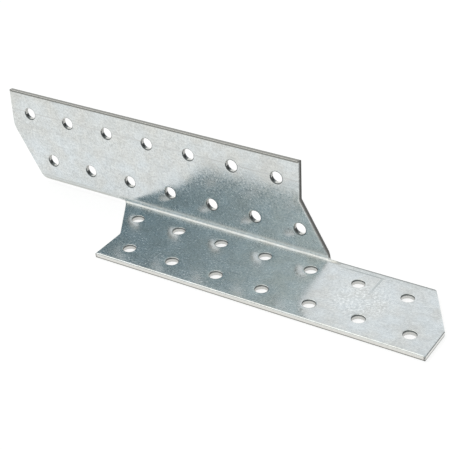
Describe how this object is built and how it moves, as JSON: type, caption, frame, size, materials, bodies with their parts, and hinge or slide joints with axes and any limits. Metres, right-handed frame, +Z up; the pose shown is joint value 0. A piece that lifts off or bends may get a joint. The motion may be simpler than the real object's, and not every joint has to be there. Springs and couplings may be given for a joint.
{
  "type": "rafter purlin anchor",
  "caption": "Galvanised sheet-steel angle anchor with two punched legs offset along the fold, to nail the sides of crossing timbers together.",
  "frame": {"origin": "middle of the part's footprint, on the plane that the foot leg lies on", "axes": "+X along the fold, towards the foot leg's free end; +Y towards the upright leg's bearing face at the back; +Z up, out of the foot leg's inner face"},
  "size_m": [0.21, 0.041, 0.041],
  "materials": {
    "galvanised_sheet": "hot-dip galvanised sheet, fine grain, satin"
  },
  "bodies": {
    "root": {"nail_plate": "galvanised_sheet"}
  },
  "joints": []
}
